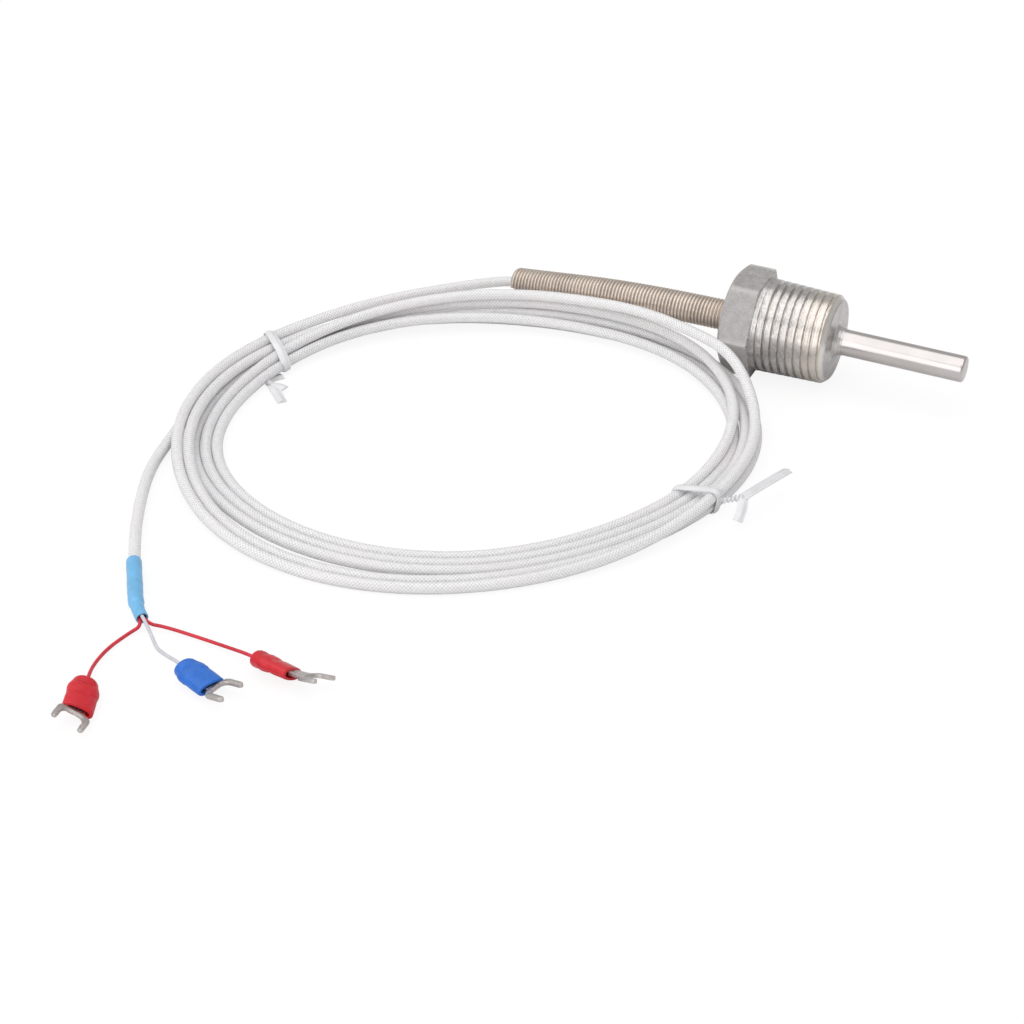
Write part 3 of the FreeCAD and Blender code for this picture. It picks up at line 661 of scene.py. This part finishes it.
class SENSOR_OT_stage(bpy.types.Operator):
    """Lay the pale floor, the soft lights and the camera"""
    bl_idname = "sensor.stage"
    bl_label = "Stage"

    def execute(self, context):
        scene = context.scene
        scene.view_settings.view_transform = "Standard"
        self.floor()
        self.world(scene)
        for name, values in LAMPS.items():
            self.lamp(name, *values)
        self.camera(scene)
        return {"FINISHED"}

    def seen(self, nodes):
        rays = nodes.add("ShaderNodeLightPath").outputs
        return nodes.maths("MAXIMUM", rays["Is Camera Ray"], rays["Is Transmission Ray"])

    def floor(self):
        corners = [metres((x * FLOOR_REACH, y * FLOOR_REACH, FLOOR_UP))
                   for x, y in ((-1, -1), (1, -1), (1, 1), (-1, 1))]
        floor = mesh_object("floor", corners, faces=[(0, 1, 2, 3)])
        finish = bpy.data.materials.new("pale floor")
        nodes = bare_nodes(finish)
        plain = nodes.add("ShaderNodeBsdfDiffuse", Color=(0.8, 0.8, 0.8, 1.0))
        shown = nodes.add("ShaderNodeEmission", Color=(1.0, 1.0, 1.0, 1.0), Strength=FLOOR_WHITE)
        mix = nodes.add("ShaderNodeMixShader", Fac=nodes.times(self.seen(nodes), FLOOR_SHARE))
        nodes.feed(mix.inputs[1], plain.outputs["BSDF"])
        nodes.feed(mix.inputs[2], shown.outputs["Emission"])
        nodes.add("ShaderNodeOutputMaterial", Surface=mix.outputs["Shader"])
        floor.data.materials.append(finish)

    def world(self, scene):
        scene.world = bpy.data.worlds.new("studio")
        nodes = bare_nodes(scene.world)
        shown = nodes.times(self.seen(nodes), WORLD_SEEN - WORLD_LIGHT)
        strength = nodes.maths("ADD", shown, WORLD_LIGHT)
        gloss = nodes.add("ShaderNodeLightPath").outputs["Is Glossy Ray"]
        strength = nodes.maths("MULTIPLY_ADD", gloss, WORLD_GLOSS, strength)
        light = nodes.add("ShaderNodeBackground", Color=(1.0, 1.0, 1.0, 1.0), Strength=strength)
        nodes.add("ShaderNodeOutputWorld", Surface=light.outputs["Background"])

    def lamp(self, name, place, size, power):
        light = bpy.data.lights.new(name, "AREA")
        light.size = size
        light.energy = power
        lamp = linked(name, light)
        lamp.location = metres(place)
        aim = metres(LAMP_AIM) - lamp.location
        lamp.rotation_euler = aim.to_track_quat("-Z", "Y").to_euler()

    def camera(self, scene):
        right = Vector(CAMERA_RIGHT).normalized()
        level = Vector((-right.y, right.x, 0.0))
        tilt, roll = math.radians(CAMERA_TILT), math.radians(CAMERA_ROLL)
        back = -level * math.cos(tilt) + Vector((0.0, 0.0, math.sin(tilt)))
        upright = back.cross(right)
        across = right * math.cos(roll) + upright * math.sin(roll)
        upward = upright * math.cos(roll) - right * math.sin(roll)
        lens = bpy.data.cameras.new("camera")
        lens.sensor_width = 36.0
        lens.lens = CAMERA_LENS
        lens.clip_start = 0.01
        camera = linked("camera", lens)
        camera.matrix_world = Matrix.Translation(metres(CAMERA_PLACE)) @ Matrix(
            (across, upward, back)).transposed().to_4x4()
        scene.camera = camera


class SENSOR_OT_cable(bpy.types.Operator):
    """Wind the cable from the fitting, through the spring and the coil, to the shrink sleeve"""
    bl_idname = "sensor.cable"
    bl_label = "Cable"

    def execute(self, context):
        radius = context.scene.sensor_sizes.cable_diameter / 2
        line = cable_line()
        ring = round_section(radius, 14)
        cable = swept("cable", line, lambda run: ring)
        place_piece(cable, 60.0, cable_finish(context.scene.sensor_colours), "cable",
                    "cable_lead_in", "cable_coil", "cable_tail")
        return {"FINISHED"}


class SENSOR_OT_spring(bpy.types.Operator):
    """Wind the strain relief spring about the cable"""
    bl_idname = "sensor.spring"
    bl_label = "Spring"

    def execute(self, context):
        sizes = context.scene.sensor_sizes
        wire = sizes.spring_wire / 2
        about = sizes.spring_diameter / 2 - wire
        middle = []
        for point in cable_line():
            if point.x * 1000 < SPRING_FREE_END - 0.3:
                break
            if point.x * 1000 <= SPRING_START + 0.4:
                middle.append(point)
        frames = carried_frames(middle)
        runs = runs_of(middle)
        pitch = sizes.spring_wire * 1.03
        per_turn = 22
        helix = []
        at = 0
        for step in range(int(runs[-1] / pitch * per_turn)):
            run = pitch * step / per_turn
            while runs[at + 1] < run:
                at += 1
            share = (run - runs[at]) / (runs[at + 1] - runs[at])
            point, _, side, rise = frames[at]
            point = point.lerp(frames[at + 1][0], share)
            turn = math.tau * step / per_turn
            helix.append(point + side * about * math.cos(turn) + rise * about * math.sin(turn))
        # The wire's section is nearly square, so that neighbouring turns part in a fine line.
        ring = [(wire * signed_power(c, 0.35), wire * signed_power(s, 0.35))
                for c, s in round_section(1.0, 10)]
        spring = swept("strain_relief_spring_wire", helix, lambda run: ring)
        finish = steel_finish("spring steel", context.scene.sensor_colours.spring, 0.85, (0.34, 0.5))
        place_piece(spring, 70.0, finish, "spring_steel", "strain_relief_spring")
        return {"FINISHED"}


class SENSOR_OT_fitting(bpy.types.Operator):
    """Turn the fitting: the hexagon, the taper thread and the drawn-in nose"""
    bl_idname = "sensor.fitting"
    bl_label = "Fitting"

    def execute(self, context):
        sizes = context.scene.sensor_sizes
        fitting = join("fitting", [self.hexagon(sizes), self.barrel(sizes)])
        place_piece(fitting, 32.0, fitting_finish(context.scene.sensor_colours), "fitting_steel",
                    "hex_fitting")
        return {"FINISHED"}

    def hexagon(self, sizes):
        corner = sizes.hex_flats / math.sqrt(3)
        bpy.ops.mesh.primitive_cylinder_add(vertices=6, radius=corner, depth=HEX_LENGTH / 1000,
                                            location=metres((HEX_LENGTH / 2, 0.0, AXIS_UP)),
                                            rotation=(0.0, math.pi / 2, 0.0))
        hexagon = bpy.context.object
        bpy.ops.object.transform_apply(location=True, rotation=True, scale=True)
        cone = [(-0.5, 0.0), (-0.5, 9.43), (0.0, 10.3), (4.6, 18.27), (12.0, 18.27), (12.0, 0.0)]
        bore = [(-1.0, 0.0), (-1.0, 3.55), (SPRING_START, 3.55), (SPRING_START, 0.0)]
        for profile, steps, operation in ((cone, 96, "INTERSECT"), (bore, 48, "DIFFERENCE")):
            cutter = lathe("cutter", profile, steps)
            use_modifier(hexagon, "BOOLEAN", operation=operation, object=cutter, solver="EXACT")
            bpy.data.objects.remove(cutter)
        use_modifier(hexagon, "BEVEL", width=0.00022, segments=2, limit_method="ANGLE",
                     angle_limit=math.radians(25))
        close_up(hexagon)
        return hexagon

    def barrel(self, sizes):
        """The threaded barrel. Its rows are close enough for the thread's flanks."""
        start, full, nose = HEX_LENGTH - 0.4, 23.7, 24.8
        rear_radius, nose_slope = 10.75, 0.82
        groove_floor, groove_slope = 0.11, 0.28
        first_groove, run_out_length = 8.6, 0.9
        rows = 236
        profile = [(start, 0.0)]
        for i in range(rows + 1):
            x = start + (nose - start) * i / rows
            drop = max(0.0, x - full) * nose_slope
            profile.append((x, rear_radius - THREAD_TAPER * (x - HEX_LENGTH) - drop))
        profile += [(24.95, 9.1), (24.95, 4.55), (25.15, 4.0), (25.6, 3.45), (26.2, 3.2), (26.9, 3.15),
                    (26.9, 2.9), (24.0, 2.9)]
        barrel = lathe("barrel", profile, 144)
        pitch = sizes.thread_pitch * 1000
        for vertex in barrel.data.vertices:
            x, y, z = vertex.co.x * 1000, vertex.co.y * 1000, vertex.co.z * 1000 - AXIS_UP
            radius = math.hypot(y, z)
            if not start < x <= nose or radius < 8.5:
                continue
            from_middle = ((x / pitch - math.atan2(z, y) / math.tau) % 1.0 - 0.5) * pitch
            flank = max(0.0, abs(from_middle) - groove_floor) / groove_slope
            run_out = max(0.0, 1 - (x - from_middle - first_groove) / run_out_length)
            cut = min(radius, sizes.thread_floor * 500 + flank + run_out)
            vertex.co.y = y * cut / radius / 1000
            vertex.co.z = (z * cut / radius + AXIS_UP) / 1000
        close_up(barrel)
        return barrel


class SENSOR_OT_probe(bpy.types.Operator):
    """Draw the probe's sheath with its closed round-edged tip, and finish what it holds"""
    bl_idname = "sensor.probe"
    bl_label = "Probe"

    def execute(self, context):
        colours = context.scene.sensor_colours
        radius = context.scene.sensor_sizes.probe_diameter * 500
        wall, rear, tip, edge = 0.5, 14.8, 55.0, 0.6
        profile = [(rear, radius - wall)] + [(x, radius) for x in (rear, 27.4, 36.0, 46.0, 54.0)]
        for i in range(1, 9):
            turn = math.radians(90 * i / 8)
            profile.append((tip - edge + edge * math.sin(turn), radius - edge + edge * math.cos(turn)))
        profile += [(tip, 1.0), (tip, 0.0)]
        inner = [(54.2, 0.0), (54.2, radius - wall)]
        sheath = lathe("probe_tube", profile + inner, 96, ring=True)
        finish = steel_finish("probe steel", colours.probe, 0.93, (0.16, 0.26))
        place_piece(sheath, 40.0, finish, "probe_steel", "probe_sheath")
        inside = {
            "sensing_element": mottled_finish("white ceramic", tint(235, 232, 226), 0.9, 600.0),
            "tip_filler": mottled_finish("packed powder", tint(205, 200, 190), 0.75, 900.0, depth=0.00006,
                                         rough=(0.7, 0.9)),
            "potting_plug": mottled_finish("dark resin", tint(58, 56, 54), 0.7, 500.0, rough=(0.25, 0.4)),
        }
        for core in ("core_red_one", "core_red_two", "core_white"):
            inside[core] = lead_finish(colours, core)
        for name, finish in inside.items():
            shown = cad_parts[name]
            shown.data.materials.clear()
            shown.data.materials.append(finish)
        return {"FINISHED"}


class SENSOR_OT_breakout(bpy.types.Operator):
    """Shrink the blue sleeve over the cable's end and draw it in to the leads"""
    bl_idname = "sensor.breakout"
    bl_label = "Shrink sleeve"

    def execute(self, context):
        radius = context.scene.sensor_sizes.shrink_diameter / 2
        lip, neck, neck_slope, neck_radius = 0.0006, 0.0053, 0.0011, 0.0013
        line = spline_line([SHRINK_START, (-72.98, -141.76, 1.68), SHRINK_BEND, SHRINK_END], 26)
        whole = runs_of(line)[-1]

        def section(run):
            size = radius - radius * 0.17 * max(0.0, 1 - run / lip) ** 2
            drawn = min(1.0, max(0.0, (neck - (whole - run)) / neck_slope))
            drawn = drawn * drawn * (3 - 2 * drawn)
            size += (neck_radius - radius) * drawn
            size *= 1 + 0.012 * math.sin(run * 900) + 0.01 * math.sin(run * 2300 + 1)
            return round_section(size, 28)

        skin = swept("breakout_skin", line, section, capped=False)
        use_modifier(skin, "SOLIDIFY", thickness=0.00035, offset=-1.0)
        close_up(skin)
        use_modifier(skin, "SUBSURF", levels=1, render_levels=1)
        finish = mottled_finish("shrink skin", context.scene.sensor_colours.shrink, 0.86, 260.0, 1800.0,
                                0.00003, (0.3, 0.42), Coat_Weight=0.2)
        place_piece(skin, 60.0, finish, "shrink_blue", "breakout_sleeve")
        return {"FINISHED"}


class SENSOR_OT_leads(bpy.types.Operator):
    """Lead the three insulated wires from the sleeve to their terminals"""
    bl_idname = "sensor.leads"
    bl_label = "Leads"

    def execute(self, context):
        sizes = context.scene.sensor_sizes
        colours = context.scene.sensor_colours
        ring = round_section(sizes.lead_diameter / 2, 12)
        for terminal, (*_, lead) in TERMINALS.items():
            place = terminal_place(terminal)
            ends = [(place @ metres((x, 0.0, 0.0))) * 1000 for x in (-1.5, 5.3)]
            line = spline_line(list(LEADS[lead]) + ends, 14)
            wire = swept(lead + "_wire", line, lambda run: ring)
            place_piece(wire, 60.0, lead_finish(colours, lead),
                        "lead_red" if "red" in lead else "lead_white", lead)
        return {"FINISHED"}


class SENSOR_OT_terminals(bpy.types.Operator):
    """Press the fork terminals and their insulating sleeves"""
    bl_idname = "sensor.terminals"
    bl_label = "Fork terminals"

    def execute(self, context):
        colours = context.scene.sensor_colours
        tin = mottled_finish("tinned copper", colours.tin, 0.82, 500.0, 2600.0, 0.00003, (0.28, 0.46),
                             metallic=1.0)
        for name in TERMINALS:
            place = terminal_place(name)
            place_piece(self.fork(name, place), 35.0, tin, "tinned_copper", "fork_" + name)
            shade = "blue" if name == "middle" else "red"
            skin = mottled_finish(shade + " sleeve plastic", getattr(colours, shade), 0.85, 300.0, 2000.0,
                                  0.00003, (0.3, 0.45), Coat_Weight=0.15)
            place_piece(self.sleeve(name, place), 50.0, skin, "sleeve_" + shade, "sleeve_" + name)
        return {"FINISHED"}

    def fork(self, name, place):
        """A stamped blade with a U slot, and the barrel rolled from its shank."""
        upper = [(5.3, 1.6), (8.75, 1.6), (9.1, 1.85), (9.4, 2.5), (9.8, 3.05), (10.4, 3.3), (13.1, 3.3),
                 (13.6, 3.2), (13.9, 2.9), (13.9, 2.5), (13.6, 2.2), (13.1, 2.15), (11.3, 2.15)]
        for i in range(1, 7):
            turn = math.radians(15 * i)
            upper.append((11.3 - 1.4 * math.sin(turn), 0.75 + 1.4 * math.cos(turn)))
        outline = upper + [(x, -y) for x, y in reversed(upper)]
        blade = mesh_object("fork_blade_" + name, [metres((x, y, -0.4)) for x, y in outline],
                            faces=[list(range(len(outline)))])
        edit_all(blade, bpy.ops.mesh.extrude_region_move,
                 TRANSFORM_OT_translate={"value": (0.0, 0.0, 0.0008)})
        close_up(blade)
        use_modifier(blade, "BEVEL", width=0.00014, segments=2, limit_method="ANGLE",
                     angle_limit=math.radians(50))
        sideways, upwards, twist, drawn = TERMINALS[name][3]
        hinge_place = 8.2
        hinge = Matrix.Translation(metres((hinge_place, 0.0, 0.0)))
        bent = hinge.copy()
        for angle, axis in ((sideways, "Z"), (-upwards, "Y"), (twist, "X")):
            bent = bent @ Matrix.Rotation(math.radians(angle), 4, axis)
        bent = bent @ Matrix.Translation(metres((drawn, 0.0, 0.0))) @ hinge.inverted()
        for vertex in blade.data.vertices:
            if vertex.co.x > hinge_place / 1000:
                vertex.co = bent @ vertex.co
        profile = [(1.8, 0.4), (1.8, 1.05), (1.92, 1.15), (3.6, 1.15), (3.9, 1.02), (4.6, 1.02), (4.9, 1.15),
                   (6.15, 1.15), (6.3, 1.0), (6.3, 0.0)]
        barrel = lathe("barrel_" + name, profile, 24)
        barrel.data.transform(Matrix.Translation(metres((0.0, 0.0, -AXIS_UP))))
        fork = join("fork_piece_" + name, [blade, barrel])
        fork.data.transform(place)
        return fork

    def sleeve(self, name, place):
        """Round at the lead, pressed flat towards the fork, with a hollow mouth."""
        rings = [(0.0, 1.5, 1.5), (0.0, 4.1, 2.85), (0.12, 4.45, 3.15), (0.45, 4.85, 3.4), (0.9, 5.05, 3.45),
                 (1.3, 5.3, 3.46), (1.7, 5.62, 3.46), (2.1, 5.92, 3.45), (2.5, 6.14, 3.43), (2.9, 6.24, 3.4),
                 (3.3, 6.22, 3.3), (3.7, 6.12, 3.14), (4.1, 6.0, 2.98), (4.5, 5.92, 2.88), (4.9, 5.9, 2.84),
                 (5.3, 5.94, 2.82), (5.7, 5.98, 2.8), (6.2, 6.0, 2.76), (6.8, 6.0, 2.7), (7.4, 6.0, 2.66),
                 (8.3, 6.0, 2.6), (8.58, 5.92, 2.52), (8.7, 5.7, 2.3), (8.7, 4.75, 1.62), (8.6, 4.6, 1.5),
                 (6.4, 4.5, 1.4), (6.4, 3.3, 0.9)]
        presses = ((1.9, 0.42), (4.7, 0.36))
        shape = bmesh.new()
        loops = []
        for x, wide, high in rings:
            loop = []
            for c, s in round_section(1.0, 48):
                power = 1.0 if x < 3.6 else 0.85
                y = wide / 2 * signed_power(c, power)
                z = high / 2 * signed_power(s, power)
                pressed = sum(depth * math.exp(-((x - at) / 0.45) ** 2 - (y / 1.5) ** 2)
                              for at, depth in presses)
                if high > 2.5:
                    z -= math.copysign(pressed, s) if s else 0.0
                loop.append(shape.verts.new(metres((x, y, z))))
            loops.append(loop)
        skinned(shape, loops)
        sleeve = shaped_object("sleeve_piece_" + name, shape)
        sleeve.data.transform(place)
        return sleeve


class SENSOR_OT_ties(bpy.types.Operator):
    """Bind the coil with the two twist ties: a loop, a twisted knot and loose ends each"""
    bl_idname = "sensor.ties"
    bl_label = "Twist ties"

    def execute(self, context):
        sizes = context.scene.sensor_sizes
        finish = tie_finish(context.scene.sensor_colours)
        turns = cable_line()
        for name, (middle, heading, knot, knot_end, *ends) in TIES.items():
            parts = [self.loop(turns, middle, heading, knot, sizes), self.knot(knot, knot_end)]
            flat = self.strip(sizes)
            for way in ends:
                parts.append(swept("tie end", spline_line(way, 12), lambda run: flat))
            tie = join("twist_tie_piece_" + name, parts)
            place_piece(tie, 50.0, finish, "tie_white", "twist_tie_" + name)
        return {"FINISHED"}

    def strip(self, sizes):
        """Flat section with a thicker middle where the wire runs."""
        half = sizes.tie_width / 2
        upper = [(half, 0.00013), (half * 0.5, 0.00017), (half * 0.28, 0.0004), (-half * 0.28, 0.0004),
                 (-half * 0.5, 0.00017), (-half, 0.00013)]
        return upper + [(-half, -0.00011), (-half * 0.3, -0.00016), (half * 0.3, -0.00016), (half, -0.00011)]

    def loop(self, turns, middle, heading, knot, sizes):
        """The strip drawn tight round every turn that crosses the tie's plane."""
        out = Vector((math.cos(math.radians(heading)), math.sin(math.radians(heading)), 0.0))
        along = Vector((-out.y, out.x, 0.0))
        up = Vector((0.0, 0.0, 1.0))
        centre = metres((*middle, 0.0))
        reach = sizes.cable_diameter / 2 + 0.00022
        around = []
        for a, b in zip(turns, turns[1:]):
            before, after = (a - centre).dot(along), (b - centre).dot(along)
            if before * after > 0 or abs((a - centre).dot(out)) > 0.014:
                continue
            at = a.lerp(b, before / (before - after)) - centre
            for across, rise in round_section(reach, 24):
                around.append((at.dot(out) + across, max(at.z + rise, 0.00018)))
        corners = [Vector(around[i]) for i in geometry.convex_hull_2d(around)]
        target = metres(knot) - centre
        target = Vector((target.dot(out), target.z))
        first = min(range(len(corners)), key=lambda i: (corners[i] - target).length)
        corners = corners[first:] + corners[:first + 1]
        frames = []
        for i, corner in enumerate(corners):
            step = (corners[min(i + 1, len(corners) - 1)] - corners[max(i - 1, 0)]).normalized()
            frames.append((centre + out * corner.x + up * corner.y, None, along, out * step.y - up * step.x))
        flat = self.strip(sizes)
        return swept("tie loop", [place[0] for place in frames], lambda run: flat, frames)

    def knot(self, start, end):
        """The two ends of the strip, twisted about each other."""
        line = spline_line([start, (Vector(start) + Vector(end)) / 2, end], 16)

        def section(run):
            turn = Matrix.Rotation(run / 0.0034 * 2 * math.tau, 2)
            return [turn @ Vector((across * 0.8, rise * 0.38)) for across, rise in round_section(0.001, 12)]

        return swept("tie knot", line, section)


class SENSOR_PT_pieces(bpy.types.Panel):
    """Lists the sensor's pieces, sizes and colours"""
    bl_idname = "SENSOR_PT_pieces"
    bl_label = "Temperature Sensor"
    bl_space_type = "VIEW_3D"
    bl_region_type = "UI"
    bl_category = "Sensor"

    def draw(self, context):
        layout = self.layout
        for operator in OPERATORS:
            layout.operator(operator.bl_idname)
        for values in (context.scene.sensor_sizes, context.scene.sensor_colours):
            box = layout.box()
            for name in values.__annotations__:
                box.prop(values, name)


OPERATORS = (SENSOR_OT_stage, SENSOR_OT_fitting, SENSOR_OT_probe, SENSOR_OT_breakout, SENSOR_OT_cable,
             SENSOR_OT_spring, SENSOR_OT_terminals, SENSOR_OT_leads, SENSOR_OT_ties)
CLASSES = (SensorSizes, SensorColours) + OPERATORS + (SENSOR_PT_pieces,)


def register():
    for kind in CLASSES:
        bpy.utils.register_class(kind)
    bpy.types.Scene.sensor_sizes = bpy.props.PointerProperty(type=SensorSizes)
    bpy.types.Scene.sensor_colours = bpy.props.PointerProperty(type=SensorColours)


def unregister():
    del bpy.types.Scene.sensor_sizes
    del bpy.types.Scene.sensor_colours
    for kind in reversed(CLASSES):
        bpy.utils.unregister_class(kind)


def main():
    register()
    bpy.ops.sensor.stage()
    bpy.ops.sensor.fitting()
    bpy.ops.sensor.probe()
    bpy.ops.sensor.breakout()
    bpy.ops.sensor.cable()
    bpy.ops.sensor.spring()
    bpy.ops.sensor.terminals()
    bpy.ops.sensor.leads()
    bpy.ops.sensor.ties()


if __name__ == "__main__":
    main()
